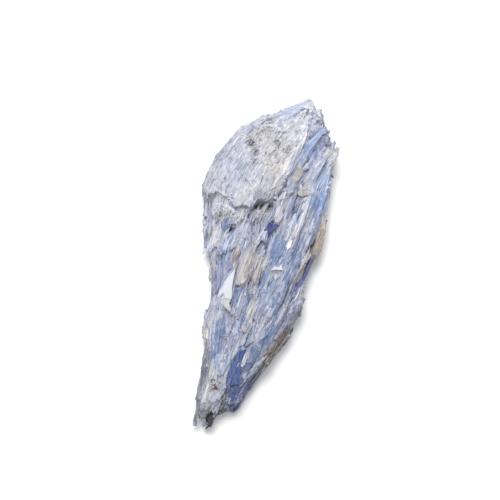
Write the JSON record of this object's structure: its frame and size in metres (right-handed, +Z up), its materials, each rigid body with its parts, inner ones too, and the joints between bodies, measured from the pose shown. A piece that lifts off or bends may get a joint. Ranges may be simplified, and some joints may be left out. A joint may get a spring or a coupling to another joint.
{
  "type": "kyanite",
  "caption": "Rough hand-size kyanite: intergrown flat blue-grey blades, a pale felted cap on one shoulder, small garnets and a ragged broken tip.",
  "frame": {"origin": "under the middle of the bounding box, on the surface that the piece rests on", "axes": "+Y along the blades from the tip to the head, +Z up out of the resting surface towards the pictured side, +X to the right seen from above"},
  "size_m": [0.0472, 0.1194, 0.0225],
  "materials": {
    "kyanite": null
  },
  "bodies": {
    "root": {"kyanite": "kyanite"}
  },
  "joints": []
}
